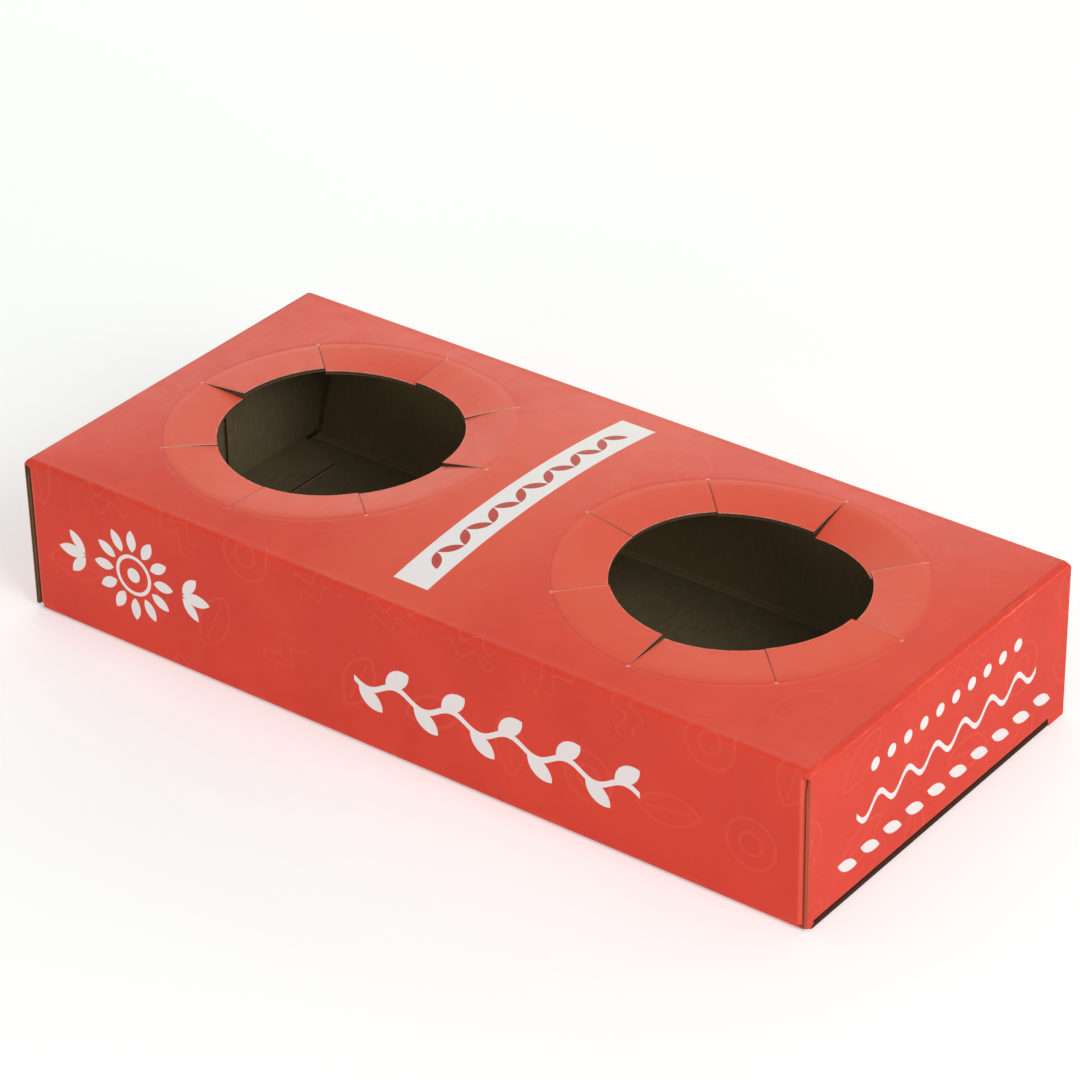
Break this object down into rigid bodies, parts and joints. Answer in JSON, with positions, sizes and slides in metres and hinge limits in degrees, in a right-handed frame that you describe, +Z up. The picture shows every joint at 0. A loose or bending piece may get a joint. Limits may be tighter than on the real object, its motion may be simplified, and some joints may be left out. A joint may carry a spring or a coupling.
{
  "type": "cardboard cup carrier",
  "caption": "Low folded tray of thin corrugated board, its arched top cut with round cup holes whose slit flaps grip the cups.",
  "frame": {"origin": "middle of the underside, on the surface that the tray stands on", "axes": "+X along the tray from one cup hole to the other, +Y to the back panel, +Z up"},
  "size_m": [0.28, 0.131, 0.0572],
  "materials": {
    "printed_board": "satin red print outside, bare brown board inside and at the cut edges"
  },
  "bodies": {
    "root": {"cup_carrier": "printed_board"}
  },
  "joints": []
}
